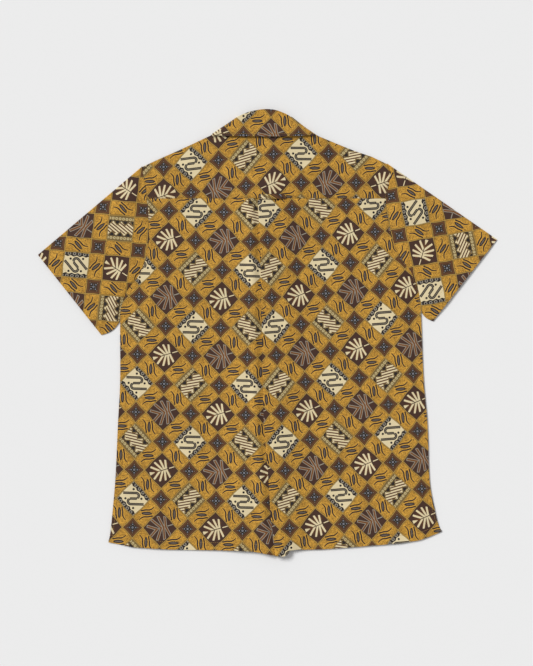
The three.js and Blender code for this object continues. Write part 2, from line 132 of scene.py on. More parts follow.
# Collar across the back: roll line x y, free edge x y, neck seam x y
COLLAR_BACK = [
    (-52, 393, -101, 359.5, -79, 371), (-43, 397.5, -78, 357.3, -64, 372),
    (-28, 402.5, -46, 356.3, -38, 373.3), (-5, 406, -6, 356, -5, 374),
    (14, 404.5, 34, 356.3, 28, 373.5), (32, 398, 62, 357.3, 53, 372), (43, 392, 84, 359.5, 70, 371),
]
LEAF_ROLL = (4, 293)           # front end of the fall's roll line, out from the centre line
LEAF_POINT = (45, 244)         # collar point
STAND_INSET = 1.0
LEFT_SLEEVE = {"top": (-417, 141), "under": (-303, -3), "bend": (3, -4)}
RIGHT_SLEEVE = {"top": (417, 169), "under": (302, 22), "bend": (-2, -2)}
LOOP = (-12, 34, 243, 251.5)
LOOP_BOW = 1.4

# Where each piece was cut from the printed cloth:
# turn in degrees, a place on the shirt, the steps of the print's grid that lie there, stretch across
CUTS = {
    "back_left": (-1.6, (-186.5, -40.4), (0, 0), 1.0),
    "back_right": (4.4, (162.9, -29.5), (8, 0), 1.02),
    "yoke": (180.0, (11, 273), (4, 0), 1.0),
    "collar": (0.0, (6.4, 358), (2, 0), 1.0),
    "left_sleeve": (-51.0, (-348.5, 123.4), (1, 3), 0.98),
    "right_sleeve": (-124.5, (283, 147.1), (2, 2), 0.98),
    "front_left": (0.0, (-150, 0), (1, 1), 1.0),
    "front_right": (0.0, (150, 0), (4, 2), 1.0),
}


def clamp01(value):
    return min(1.0, max(0.0, value))


def mix(a, b, t):
    return a + (b - a) * t


def ramp(value, start, end):
    return clamp01((value - start) / (end - start))


def smooth(t):
    return t * t * (3 - 2 * t)


def spline(points, t):
    """A place on a smooth curve through the points; t counts points."""
    i = min(int(t), len(points) - 2)
    f = t - i
    p1, p2 = points[i], points[i + 1]
    p0 = points[max(i - 1, 0)]
    p3 = points[min(i + 2, len(points) - 1)]
    out = []
    for a, b, c, d in zip(p0, p1, p2, p3):
        out.append(b + 0.5 * f * (c - a + f * (2 * a - 5 * b + 4 * c - d + f * (3 * (b - c) + d - a))))
    return tuple(out)


def level_of(table, column, y):
    """Reads a column of a table whose first column falls."""
    if y >= table[0][0]:
        return table[0][column]
    for a, b in zip(table, table[1:]):
        if y >= b[0]:
            return mix(b[column], a[column], (y - b[0]) / (a[0] - b[0]))
    return table[-1][column]


def edge_x(edge, y):
    return level_of([(row[1], row[0]) for row in edge], 1, y)


def line_y(points, x):
    """Height of a line of points whose x grows."""
    for a, b in zip(points, points[1:]):
        if x <= b[0]:
            return mix(a[1], b[1], clamp01((x - a[0]) / (b[0] - a[0])))
    return points[-1][1]


def shoulder_y(x):
    return line_y([(row[1], row[2]) for row in YOKE_TOP], x)


# ---------------------------------------------------------------- heights

def outside_leaves(x, y):
    reach = mix(LEAF_POINT[0], 108, ramp(y, LEAF_POINT[1], 358))
    return max(0, abs(x - CENTRE) - reach, LEAF_POINT[1] - y)


def hidden_rise(x, y):
    buttons = BUTTON_RISE * smooth(ramp(abs(x - CENTRE), RISE_OUTER, RISE_INNER))
    leaf = LEAF_RISE * smooth(ramp(outside_leaves(x, y), LEAF_SLOPE, 0))
    return max(buttons, leaf)


def lap_rise(x):
    return LAP_RISE * smooth(ramp(x - CENTRE, RISE_OUTER, RISE_INNER))


def left_front_z(x, y):
    return hidden_rise(x, y)


def right_front_z(x, y):
    return hidden_rise(x, y) + lap_rise(x)


# Soft creases of the back: x and y where each starts and ends, width, height
CREASES = [
    (-30, 250, -24, -180, 8, 3.2), (-24, -150, -4, -395, 8, 3.0), (33, -335, 41, -394, 3.5, -2.6),
    (30, 235, 36, 60, 7, 1.8), (36, 60, 34, -120, 9, 1.2), (-60, 228, -90, 60, 16, 1.0),
    (120, 236, 150, 90, 18, 1.1), (205, 150, 235, 30, 14, 1.4), (-200, 150, -228, 10, 14, 1.4),
    (245, 60, 262, -120, 12, 1.2), (-240, -20, -236, -190, 13, 1.0), (-150, -120, -120, -330, 20, 1.2),
    (90, -60, 108, -300, 20, 1.0), (190, -180, 225, -350, 17, 1.6), (-250, -250, -258, -370, 12, 1.5),
    (60, -240, 52, -392, 13, 1.8), (-60, -300, -70, -390, 17, 1.3), (150, -300, 158, -385, 16, 1.5),
    (-190, -290, -200, -388, 15, 1.6), (262, -290, 290, -362, 12, 2.0), (-30, -60, -26, -250, 12, -1.2),
    (-120, 120, -60, 20, 22, 0.9), (70, 150, 130, 30, 24, 0.8),
]
YOKE_CREASES = [
    (-180, 262, -130, 320, 13, 1.3), (-70, 262, -60, 340, 17, 0.9), (60, 262, 90, 335, 15, 1.0),
    (150, 262, 170, 315, 14, 1.2), (-200, 285, -160, 300, 9, 0.9),
]
LEFT_SLEEVE_CREASES = [
    (-235, 270, -300, 190, 16, 1.5), (-228, 190, -330, 120, 18, 1.4), (-240, 110, -330, 60, 14, 1.5),
    (-270, 60, -320, 25, 10, 1.6), (-350, 185, -390, 130, 14, 1.0),
]
RIGHT_SLEEVE_CREASES = [
    (232, 278, 300, 205, 15, 1.5), (230, 220, 330, 150, 18, 1.3), (255, 140, 340, 100, 15, 1.6),
    (280, 70, 330, 60, 10, 1.4), (350, 205, 395, 160, 14, 1.1),
]


def crease_z(creases, x, y):
    """Height that soft ridges and troughs add at a place."""
    total = 0.5
    for x0, y0, x1, y1, width, height in creases:
        dx, dy = x1 - x0, y1 - y0
        length = math.hypot(dx, dy)
        t = ((x - x0) * dx + (y - y0) * dy) / length ** 2
        off = abs((x - x0) * dy - (y - y0) * dx) / length
        if off < 3 * width and -0.4 < t < 1.4:
            fade = smooth(ramp(t, -0.3, 0.25)) * smooth(ramp(t, 1.3, 0.75))
            total += height * fade * math.exp(-(off / width) ** 2)
    total += 0.6 * noise.noise(Vector((x * 0.014, y * 0.01, 1.3)))
    return total * bpy.context.scene.shirt_sizes.crease


def air_z(x, y):
    left = x - edge_x(LEFT_EDGE, y)
    right = edge_x(RIGHT_EDGE, y) - x
    return smooth(clamp01(min(left, right) / AIR_REACH))


def back_z(x, y):
    over_lap = LAP_RISE * smooth(ramp(x - CENTRE, -RISE_OUTER, -RISE_INNER))
    cover = over_lap if x < CENTRE else lap_rise(x)
    return hidden_rise(x, y) + cover + LAYER + GAP + AIR * air_z(x, y)


def seam_dip(x, y):
    """Cloth sinks towards the yoke seam and the armholes, and puckers a little along them."""
    away = abs(y - YOKE_SEAM)
    to_armhole = min(x - edge_x(LEFT_EDGE, y), edge_x(RIGHT_EDGE, y) - x)
    away = min(away, to_armhole if y > UNDERARM else SEAM_REACH)
    sink = SEAM_SINK * (1 - smooth(ramp(away, 0, SEAM_REACH)))
    pucker = PUCKER * noise.noise(Vector((x * 0.11, y * 0.11, 4.0)))
    return pucker * (1 - ramp(away, 0, PUCKER_REACH)) - sink


def panel_z(x, y):
    return back_z(x, y) + crease_z(CREASES, x, y) * mix(0.35, 1.0, air_z(x, y)) + seam_dip(x, y)


def yoke_z(x, y):
    fold, depth = PLEAT[0][1], PLEAT[0][2]
    beside = max(0, fold - x, x - fold - depth)
    climb = 2 * LAYER * smooth(ramp(beside, 40, 4)) * smooth(ramp(y, YOKE_SEAM + 60, YOKE_SEAM + 10))
    edge = smooth(clamp01((shoulder_y(x) - y) / 25))
    soft = edge * crease_z(YOKE_CREASES, x, y) * mix(0.4, 1.0, air_z(x, y))
    return back_z(x, y) + climb + soft + seam_dip(x, y)


def sleeve_z(creases, x, y, down_arm, along):
    """Top of a sleeve; down_arm runs from the armhole to the hem, along from the fold to the underarm."""
    air = smooth(clamp01(4 * down_arm)) * smooth(clamp01(5 * min(along, 1 - along)))
    soft = smooth(clamp01(8 * min(along, 1 - along))) * smooth(clamp01(6 * down_arm + 0.15))
    return LAYER + SLEEVE_REST + AIR * air + soft * crease_z(creases, x, y) + MIDDLE


# ---------------------------------------------------------------- the cut

def cloth_place(cut, x, y):
    """Where a place on the shirt lies on the printed cloth, in metres."""
    turn, (ox, oy), (across, down), stretch = CUTS[cut]
    angle = math.radians(turn)
    dx, dy = x - ox, y - oy
    sizes = bpy.context.scene.shirt_sizes
    u = (dx * math.cos(angle) + dy * math.sin(angle)) * stretch + across * sizes.step_across
    v = -dx * math.sin(angle) + dy * math.cos(angle) - down * sizes.step_down
    return u * MM, v * MM


def pt(x, y, z, cut, out=(0, 0, 1)):
    return (x, y, z), out, cloth_place(cut, x, y)


def cloth_piece(name, rows, node, thickness=0.7, tube=False):
    """Rows of points on the middle of a cloth become a closed wall with the cut as its UV map."""
    count = len(rows[0])
    half = thickness / 2
    verts, places = [], []
    for side in (1, -1):
        for row in rows:
            for (x, y, z), (nx, ny, nz), place in row:
                reach = side * half
                verts.append(((x + reach * nx) * MM, (y + reach * ny) * MM, (z + reach * nz) * MM))
                places.append(place)
    under = len(rows) * count
    columns = count if tube else count - 1
    faces = []

    def index(i, j, layer):
        return layer * under + i * count + j % count

    for i in range(len(rows) - 1):
        for j in range(columns):
            faces.append((index(i, j, 0), index(i, j + 1, 0), index(i + 1, j + 1, 0), index(i + 1, j, 0)))
            faces.append((index(i, j, 1), index(i + 1, j, 1), index(i + 1, j + 1, 1), index(i, j + 1, 1)))
        if not tube:
            k = count - 1
            faces.append((index(i, 0, 0), index(i + 1, 0, 0), index(i + 1, 0, 1), index(i, 0, 1)))
            faces.append((index(i + 1, k, 0), index(i, k, 0), index(i, k, 1), index(i + 1, k, 1)))
    end = len(rows) - 1
    for j in range(columns):
        faces.append((index(0, j + 1, 0), index(0, j, 0), index(0, j, 1), index(0, j + 1, 1)))
        faces.append((index(end, j, 0), index(end, j + 1, 0), index(end, j + 1, 1), index(end, j, 1)))
    mesh = bpy.data.meshes.new(name)
    mesh.from_pydata(verts, [], faces)
    volume = 0
    for face in faces:
        a, b, c, d = (Vector(verts[k]) for k in face)
        volume += a.dot(b.cross(c)) + a.dot(c.cross(d))
    if volume < 0:
        mesh.flip_normals()
    layer = mesh.uv_layers.new(name="cut")
    for loop in mesh.loops:
        layer.data[loop.index].uv = places[loop.vertex_index]
    mesh.polygons.foreach_set("use_smooth", [True] * len(mesh.polygons))
    mesh.set_sharp_from_angle(angle=math.radians(50))
    mesh.materials.append(printed_cotton())
    obj = bpy.data.objects.new(name, mesh)
    bpy.context.scene.collection.objects.link(obj)
    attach(obj, "root")
    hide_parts(node)
    return obj


# ---------------------------------------------------------------- nodes and colours

MATH = "ShaderNodeMath"
MIX = "ShaderNodeMix"


def linear(text):
    """A hex sRGB colour as linear RGBA."""
    channels = [int(text[k:k + 2], 16) / 255 for k in (1, 3, 5)]
    return [c / 12.92 if c <= 0.04045 else ((c + 0.055) / 1.055) ** 2.4 for c in channels] + [1.0]


def add(tree, kind, values=(), **settings):
    """Adds a node with its settings. Values fill its live sockets in order, or by name from a dict."""
    node = tree.nodes.new(kind)
    for key, value in settings.items():
        setattr(node, key, value)
    if isinstance(values, dict):
        pairs = [(node.inputs[key], value) for key, value in values.items()]
    else:
        pairs = zip([socket for socket in node.inputs if socket.enabled], values)
    for socket, value in pairs:
        if isinstance(value, Field):
            tree.links.new(value.socket, socket)
        else:
            socket.default_value = value
    return Field(node)


class Field:
    """What a node gives, so that sums of nodes read as sums; a key picks another output."""

    def __init__(self, node, key=None):
        self.node = node
        live = [socket for socket in node.outputs if socket.enabled]
        self.socket = node.outputs[key] if key else live[0] if live else None

    def __getitem__(self, key):
        return Field(self.node, key)

    def __add__(self, other):
        return add(self.node.id_data, MATH, (self, other), operation="ADD")

    def __sub__(self, other):
        return add(self.node.id_data, MATH, (self, other), operation="SUBTRACT")

    def __mul__(self, other):
        return add(self.node.id_data, MATH, (self, other), operation="MULTIPLY")

    def __truediv__(self, other):
        return add(self.node.id_data, MATH, (self, other), operation="DIVIDE")

    def __lt__(self, other):
        return add(self.node.id_data, MATH, (self, other), operation="LESS_THAN")

    def __gt__(self, other):
        return add(self.node.id_data, MATH, (self, other), operation="GREATER_THAN")

    def __abs__(self):
        return add(self.node.id_data, MATH, (self,), operation="ABSOLUTE")


# The print's colours that a user has no need to change
INK = linear("#231A17")
RUST = linear("#7A4A1C")
STROKE = linear("#2A211C")
CORE = linear("#8B816C")
BEIGE = linear("#CBB884")
CHAIN = linear("#7E673A")
SPINDLE = linear("#2E2421")
BEAN = linear("#6F6258")
SQUARE = linear("#50331C")
COIL_GAP = linear("#5B3317")
HOOK = linear("#33231D")
DOT = linear("#8A8C93")
OLIVE = linear("#55401B")
PALE_LINE = linear("#C79F4A")

BLOCK = 0.32                   # half a block, in steps of the grid
ACROSS_EDGE = 72.5             # length of a step from a block to its neighbour


def hypot(node, x, y):
    return node(MATH, (x * x + y * y,), operation="SQRT")


def oval(x, y, length, width):
    """Below 1 inside an oval round the middle."""
    return x * x * (1 / length ** 2) + y * y * (1 / width ** 2)


def ring_row(node, along, off, pitch):
    """How far a place lies from the nearest of a row of points."""
    step = (node(MATH, (along / pitch,), operation="FRACT") - 0.5) * pitch
    return hypot(node, step, off)


def ochre_ground(node, place, colours):
    """Gold dye, unevenly taken up, with fine curls drawn all over it."""
    cloud = node("ShaderNodeTexNoise", {"Vector": place, "Scale": 0.05, "Detail": 3.0})
    curls = node("ShaderNodeTexNoise", {"Vector": place, "Scale": 0.3, "Detail": 1.0, "Distortion": 0.8})
    turns = node(MATH, (curls * 4.0,), operation="FRACT")
    line = abs(turns - 0.5) < 0.2
    depth = node(MATH, (cloud, 3.0, -1.1), operation="MULTIPLY_ADD", use_clamp=True)
    ground = node(MIX, (depth * 0.4, colours.gold, colours.gold_shade), data_type="RGBA")
    return node(MIX, (line * 0.72, ground, colours.curl), data_type="RGBA")


def leaf_lobes(node, along, aside, pitch, middle):
    """The turn of a lobe at a place, and how far the place lies from its middle; lobes fan from the rib."""
    wide = abs(aside) + 8.0
    run = along + middle
    angle = node(MATH, (run, wide), operation="ARCTAN2")
    place = node(MATH, (angle / pitch,), operation="FRACT") - 0.5
    return angle, abs(place) * hypot(node, run, wide) * pitch


def leaf_blocks(node, x, y, colours):
    """A broad cut leaf twice: in thick cream lobes, and in grey outline over rust."""
    lean = math.radians(198)
    m = x * math.cos(lean) + y * math.sin(lean)
    n = y * math.cos(lean) - x * math.sin(lean)
    stalk = (abs(n) < 0.8) * (m < -14.0) * (m > -24.0)
    rib = (abs(n) < 0.75) * (abs(m - 1.0) < 12.0)
    fan, off = leaf_lobes(node, m, n, 0.36, 7.0)
    heart = oval(m, n, 22.5, 19.5)
    ended = off * off * 0.012 + heart < 1.0
    inside = (off < 1.75) * ended * (fan > -0.4)
    solid = node(MATH, (inside, stalk), operation="MAXIMUM")
    solid = solid * (rib * -1.0 + 1.0)
    crumbs = (abs(off - 2.9) < 0.3) * (heart < 0.7) * (fan > -0.4)
    leaf = node(MIX, (crumbs, colours.brown, RUST), data_type="RGBA")
    leaf = node(MIX, (solid, leaf, colours.cream), data_type="RGBA")

    fan, off = leaf_lobes(node, m * 0.87, n * 0.87, 0.4, 7.5)
    whole = oval(m, n, 25.0, 22.0)
    body = (whole < 1.0) * (fan > -0.42)
    rims = (abs(off - 1.7) < 0.45) * body
    ends = (abs(whole - 0.96) < 0.05) * (off < 1.8) * (fan > -0.42)
    lines = node(MATH, (node(MATH, (rims, ends), operation="MAXIMUM"), stalk), operation="MAXIMUM")
    filled = node(MIX, (body * (off < 1.8), colours.brown, RUST), data_type="RGBA")
    outlined = node(MIX, (lines, filled, colours.grey), data_type="RGBA")
    return leaf, outlined


def coil_block(node, x, y, along, aside, flip, colours):
    """Slanted coils, as in parang cloths, between two chains of rings."""
    wide = abs(aside)
    slant = (y + x * flip * 0.2) / 5.0
    row = node(MATH, (slant,), operation="FLOOR")
    odd = node(MATH, (row * 0.5,), operation="FRACT") * 4.0 - 1.0
    level = abs(slant - row - 0.5)
    gap = (level < 0.22) * (aside * odd < 8.8)
    coils = node(MIX, (gap, colours.cream, COIL_GAP), data_type="RGBA")
    pitch = 14.5
    place = along / pitch + (aside > 0.0) * 0.5
    step = abs(node(MATH, (place,), operation="FRACT") - 0.5) * pitch
    coils = node(MIX, ((step + abs(wide - 11.4)) < 6.6, coils, CHAIN), data_type="RGBA")
    coils = node(MIX, ((step + abs(wide - 11.2)) < 4.0, coils, INK), data_type="RGBA")
    ring = ring_row(node, along, wide - 17.4, 6.2)
    chain = node(MIX, (ring < 2.5, CHAIN, BEIGE), data_type="RGBA")
    chain = node(MIX, (ring < 0.8, chain, STROKE), data_type="RGBA")
    coils = node(MIX, (wide > 12.6, coils, chain), data_type="RGBA")
    return node(MIX, (abs(wide - 13.2) < 0.7, coils, INK), data_type="RGBA")


def scroll_block(node, x, y, along, aside, flip, colours):
    """A thick scrolling stroke on a cream field, between dark bands with rings."""
    wide = abs(aside)
    wave = node(MATH, (along * (2 * math.pi / 11),), operation="COSINE")
    scallop = wave * 0.9 + 15.6
    field = node(MIX, (wide < scallop, INK, colours.cream), data_type="RGBA")
    ring = ring_row(node, along, wide - 20.0, 9.2)
    field = node(MIX, (abs(ring - 2.3) < 0.7, field, colours.grey), data_type="RGBA")
    side = node(MATH, (y,), operation="SIGN")
    run = x * flip * side * -1.0
    bow = 5.1
    rise = abs(y)
    past = node(MATH, (run - 4.6, 0.0), operation="MAXIMUM")
    turn = abs(hypot(node, past, rise - bow) - bow)
    arm = abs(rise - 2 * bow)
    ahead = run > 0.0
    off = turn * ahead + arm * (ahead * -1.0 + 1.0)
    beyond = node(MATH, (abs(x) - 4.6, 0.0), operation="MAXIMUM")
    off = node(MATH, (off, hypot(node, beyond, y)), operation="MINIMUM")
    short = abs(x) < 19.0
    field = node(MIX, ((off < 2.3) * short, field, STROKE), data_type="RGBA")
    field = node(MIX, ((off < 0.5) * short, field, CORE), data_type="RGBA")
    far = abs(x) - 14.5
    high = rise - 17.2
    beside = (far * far + y * y) < 4.4
    above = (x * x + high * high) < 4.4
    return node(MIX, (beside + above, field, INK), data_type="RGBA")


def gold_cell(node, ground, gx, gy, upright, colours):
    """A bean and two hooked lines on the gold ground, which is clear of curls beside them."""
    long = gx + (gy - gx) * upright
    short = gy - (gx + gy) * upright
    bean = oval(long, short, 9.8, 3.0) < 1.0
    slit = oval(long, short, 7.0, 1.0) < 1.0
    side = node(MATH, (short,), operation="SIGN")
    run = long * side
    rise = node(MATH, (run - 3.0, 0.0), operation="MAXIMUM")
    fall = node(MATH, (run + 2.0, 0.0), operation="MINIMUM")
    target = rise * rise * 0.055 + fall * 0.22 + 6.3
    off = abs(abs(short) - target)
    length = abs(run - 1.2)
    cell = node(MIX, ((off < 2.5) * (length < 13.5), ground, colours.gold), data_type="RGBA")
    cell = node(MIX, ((off < 1.35) * (length < 12.4), cell, HOOK), data_type="RGBA")
    cell = node(MIX, (bean, cell, SPINDLE), data_type="RGBA")
    return node(MIX, (slit, cell, BEAN), data_type="RGBA")


def dotted_square(node, gx, gy, edge):
    """A brown square with dots round its dark middle and a fine inner border."""
    near = node(MATH, (abs(gx), abs(gy)), operation="MINIMUM")
    far = node(MATH, (abs(gx), abs(gy)), operation="MAXIMUM")
    middle = near * near + far * far
    ring = far - 5.7
    outer = far - 9.6
    corner, beyond = near - 3.0, far - 3.0
    square = node(MIX, (abs(edge - 2.7) < 0.45, SQUARE, RUST), data_type="RGBA")
    square = node(MIX, ((near + far) < 8.4, square, INK), data_type="RGBA")
    square = node(MIX, ((corner * corner + beyond * beyond) < 0.5, square, CORE), data_type="RGBA")
    square = node(MIX, ((ring * ring + near * near) < 1.3, square, DOT), data_type="RGBA")
    square = node(MIX, ((outer * outer + near * near) < 0.5, square, CORE), data_type="RGBA")
    square = node(MIX, (middle < 3.4, square, DOT), data_type="RGBA")
    return node(MIX, (middle < 0.5, square, INK), data_type="RGBA")


def printed_cotton():
    """Plain-weave cotton poplin, wax-printed in browns, cream and gold: matt, with a dry thread grain."""
    name = "printed_cotton_poplin"
    if name in bpy.data.materials:
        return bpy.data.materials[name]
    sizes = bpy.context.scene.shirt_sizes
    colours = bpy.context.scene.shirt_colours
    material = bpy.data.materials.new(name)
    material.use_nodes = True
    tree = material.node_tree
    tree.nodes.clear()
    node = partial(add, tree)
    parts = node("ShaderNodeSeparateXYZ", (node("ShaderNodeUVMap", uv_map="cut"),))
    u = parts["X"] * 1000.0
    v = parts["Y"] * 1000.0
    place = node("ShaderNodeCombineXYZ", (u, v))

    # Places in the grid, and in its block, square or gold cell
    across = u / sizes.step_across
    down = v / -sizes.step_down
    a = (across + down) * 0.5
    b = (across - down) * 0.5
    cell_a = node(MATH, (a,), operation="ROUND")
    cell_b = node(MATH, (b,), operation="ROUND")
    fa = a - cell_a
    fb = b - cell_b
    bulge = 4 * math.pi
    edge_a = abs(fa) - node(MATH, (fb * bulge,), operation="COSINE") * 0.007 - BLOCK
    edge_b = abs(fb) - node(MATH, (fa * bulge,), operation="COSINE") * 0.007 - BLOCK
    in_a = edge_a < 0.0
    in_b = edge_b < 0.0
    out_a = edge_a > 0.0
    out_b = edge_b > 0.0
    x = (fa + fb) * sizes.step_across
    y = (fb - fa) * sizes.step_down
    odd_a = node(MATH, (cell_a * 0.5,), operation="FRACT") > 0.25
    odd_b = node(MATH, (cell_b * 0.5,), operation="FRACT") > 0.25
    row = node(MATH, ((cell_a - cell_b - 1.0) * 0.25,), operation="FRACT")
    mirrored = abs(row - 0.5) > 0.375
    flip = mirrored * -2.0 + 1.0
    one_way = (fa + (fb - fa) * mirrored) * ACROSS_EDGE
    other_way = (fb + (fa - fb) * mirrored) * ACROSS_EDGE

    leaf, outlined = leaf_blocks(node, x, y, colours)
    coils = coil_block(node, x, y, one_way, other_way, flip, colours)
    scroll = scroll_block(node, x, y, other_way, one_way, flip, colours)
    leaves = node(MIX, (odd_a, leaf, outlined), data_type="RGBA")
    others = node(MIX, (odd_a, scroll, coils), data_type="RGBA")
    block = node(MIX, (abs(odd_a - odd_b), leaves, others), data_type="RGBA")

    half_a = node(MATH, (fa,), operation="SIGN") * out_a * 0.5
    half_b = node(MATH, (fb,), operation="SIGN") * out_b * 0.5
    gx = (fa - half_a + fb - half_b) * sizes.step_across
    gy = (fb - half_b - fa + half_a) * sizes.step_down
    near_edge = node(MATH, (abs(edge_a), abs(edge_b)), operation="MINIMUM") * ACROSS_EDGE
    cell = gold_cell(node, ochre_ground(node, place, colours), gx, gy, in_a * out_b, colours)
    square = dotted_square(node, gx, gy, near_edge)
    colour = node(MIX, (in_a * in_b, cell, block), data_type="RGBA")
    colour = node(MIX, (out_a * out_b, colour, square), data_type="RGBA")
    colour = node(MIX, (near_edge < 1.2, colour, OLIVE), data_type="RGBA")
    colour = node(MIX, (near_edge < 0.5, colour, PALE_LINE), data_type="RGBA")

    # The cloth fades and takes its dye unevenly
    patch = node("ShaderNodeTexNoise", {"Vector": place, "Scale": 0.012, "Detail": 2.0})
    speck = node("ShaderNodeTexNoise", {"Vector": place, "Scale": 0.9, "Detail": 1.0})
    shade = patch * 0.22 + speck * 0.34 + 0.56
    tinted = node("ShaderNodeVectorMath", {0: colour, 1: shade}, operation="MULTIPLY")

    # Poplin has about 3 threads to a millimetre, drawn at one to 1.4 mm so that they show
    thread = 2 * math.pi / 1.4
    warp = node(MATH, (u * thread,), operation="SINE")
    weft = node(MATH, (v * thread,), operation="SINE")
    grain = warp * weft * 0.5 + speck * 1.5
    bump = node("ShaderNodeBump", {"Height": grain, "Strength": 0.25, "Distance": 0.0002})
    shader = node("ShaderNodeBsdfPrincipled", {
        "Base Color": tinted, "Normal": bump, "Roughness": 0.86, "IOR": 1.46,
        "Sheen Weight": 0.06, "Sheen Roughness": 0.5,
    })
    node("ShaderNodeOutputMaterial", {"Surface": shader})
    return material


def plain_material(name, colour, roughness, scale, depth, clouding=0.5):
    """A material of one clouded colour, with a fine relief."""
    if name in bpy.data.materials:
        return bpy.data.materials[name]
    material = bpy.data.materials.new(name)
    material.use_nodes = True
    tree = material.node_tree
    tree.nodes.clear()
    node = partial(add, tree)
    place = node("ShaderNodeTexCoord")["Object"]
    cloud = node("ShaderNodeTexNoise", {"Vector": place, "Scale": scale, "Detail": 3.0})
    shade = cloud * clouding + (1 - clouding / 2)
    tint = node("ShaderNodeVectorMath", {0: list(colour)[:3], 1: shade}, operation="MULTIPLY")
    bump = node("ShaderNodeBump", {"Height": cloud, "Strength": depth, "Distance": 0.0002})
    looks = {"Base Color": tint, "Normal": bump, "Roughness": roughness}
    node("ShaderNodeOutputMaterial", {"Surface": node("ShaderNodeBsdfPrincipled", looks)})
    return material


def sewing_thread():
    """Spun polyester sewing thread in the gold of the ground: matt and slightly hairy."""
    return plain_material("spun_polyester_thread", bpy.context.scene.shirt_colours.thread, 0.7, 900.0, 0.2)


def polished_resin():
    """Cast polyester resin, turned and polished: dark brown, faintly clouded, with a soft gloss."""
    colour = bpy.context.scene.shirt_colours.buttons
    return plain_material("polished_polyester_resin", colour, 0.28, 180.0, 0.02)


def studio_paper():
    """Matt pale studio paper, evenly lit."""
    return plain_material("matt_studio_paper", linear("#E9E9E9"), 0.95, 300.0, 0.0, 0.02)


# ---------------------------------------------------------------- pieces

def spread(count):
    return [k / (count - 1) for k in range(count)]


def from_seam(t):
    """Spreads steps so that they lie close together at a seam."""
    return t * mix(0.3, 1.0, t)


def back_row(row):
    left = spline(LEFT_EDGE, row)
    right = spline(RIGHT_EDGE, row)
    if row == SEAM_ROW:
        left, right = (left[0], left[1] - GAP / 2), (right[0], right[1] - GAP / 2)
    bend = ramp(row, VENT_ROW, len(LEFT_EDGE) - 1) ** 2

    def row_y(x):
        straight = mix(left[1], right[1], (x - left[0]) / (right[0] - left[0]))
        return mix(straight, line_y(HEM, x), bend)

    nominal = (left[1] + right[1]) / 2
    fold = level_of(PLEAT, 1, nominal)
    depth = level_of(PLEAT, 2, nominal)
    tip = fold + depth
    turn = LAYER / 2
    swell = PLEAT_SWELL * smooth(ramp(nominal, *PLEAT_OPENS))
    level = max(panel_z(fold, row_y(fold)), panel_z(tip, row_y(tip))) + MIDDLE
    points = []

    def lay(x, z, cut, out=(0, 0, 1), place=None):
        y = row_y(x)
        points.append(((x, y, z), out, place or cloth_place(cut, x, y)))

    start = fold - PLEAT_REACH
    for t in spread(50):
        x = mix(left[0], start, from_seam(t))
        lay(x, panel_z(x, row_y(x)) + MIDDLE, "back_left")
    for t in spread(19)[1:]:
        x = mix(start, fold - PLEAT_EDGE, t)
        roll = PLEAT_ROLL * smooth(ramp(t, 0, PLEAT_PEAK)) * (1 - smooth(ramp(t, PLEAT_PEAK, 1)))
        lay(x, mix(panel_z(x, row_y(x)) + MIDDLE, level, smooth(t)) + roll, "back_left")
    lay(tip, level, "back_left")
    under = cloth_place("back_left", tip, row_y(tip))
    over = cloth_place("back_right", fold, row_y(fold))
    for k in range(1, 5):
        angle = math.pi * k / 5
        x = tip + turn * math.sin(angle)
        lay(x, level + turn * (1 - math.cos(angle)), None, (-math.sin(angle), 0, math.cos(angle)), under)
    lay(tip, level + LAYER, None, (0, 0, -1), under)
    lay(fold, level + LAYER, None, (0, 0, -1), over)
    lift = turn + swell / 2
    for k in range(1, 6):
        angle = math.pi * k / 6
        x = fold - lift * math.sin(angle)
        z = level + LAYER + lift * (1 - math.cos(angle))
        lay(x, z, None, (-math.sin(angle), 0, -math.cos(angle)), over)
    top = level + 2 * LAYER + swell
    finish = tip + PLEAT_REACH
    for t in spread(26):
        x = mix(fold, finish, t)
        fall = smooth(ramp(x, fold + 10, finish))
        lay(x, mix(top, panel_z(x, row_y(x)) + MIDDLE, fall), "back_right")
    for t in spread(50)[1:]:
        x = mix(finish, right[0], 1 - from_seam(1 - t))
        lay(x, panel_z(x, row_y(x)) + MIDDLE, "back_right")
    return points


def make_back_panel():
    last = len(LEFT_EDGE) - 1
    rows = [back_row(mix(SEAM_ROW, last, t * mix(0.2, 1.0, ramp(t, 0, 0.1)))) for t in spread(110)]
    obj = cloth_piece("back_cloth", rows, "back_panel")


def yoke_place(x, y):
    """The yoke's cloth was cut a little off the straight, so that its print climbs from the left."""
    u, v = cloth_place("yoke", x, y)
    return u, v - YOKE_CLIMB * MM * clamp01((YOKE_STRAIGHT - x) / YOKE_SPAN) ** 1.15


def make_yoke():
    rows = []
    bottom = YOKE_SEAM + GAP / 2
    for t in spread(36):
        up = from_seam(t)
        row = []
        edge_row = SEAM_ROW * (1 - up)
        left, right = spline(LEFT_EDGE, edge_row), spline(RIGHT_EDGE, edge_row)
        for k in spread(130):
            across = 0.5 + (k - 0.5) * mix(1.25, 1.0, abs(2 * k - 1) ** 2) if 0 < k < 1 else k
            x_top = mix(YOKE_TOP[0][1], YOKE_TOP[-1][1], across)
            x_low = mix(YOKE_TOP[0][0], YOKE_TOP[-1][0], across)
            x = mix(x_low, x_top, up)
            y = mix(bottom, shoulder_y(x_top), up)
            if across < 0.5:
                x += (left[0] - mix(YOKE_TOP[0][0], YOKE_TOP[0][1], up)) * clamp01(1 - across * 8)
            else:
                x += (right[0] - mix(YOKE_TOP[-1][0], YOKE_TOP[-1][1], up)) * clamp01(1 - (1 - across) * 8)
            row.append(((x, y, yoke_z(x, y) + MIDDLE), (0, 0, 1), yoke_place(x, y)))
        rows.append(row)
    obj = cloth_piece("yoke_cloth", rows, "back_yoke")


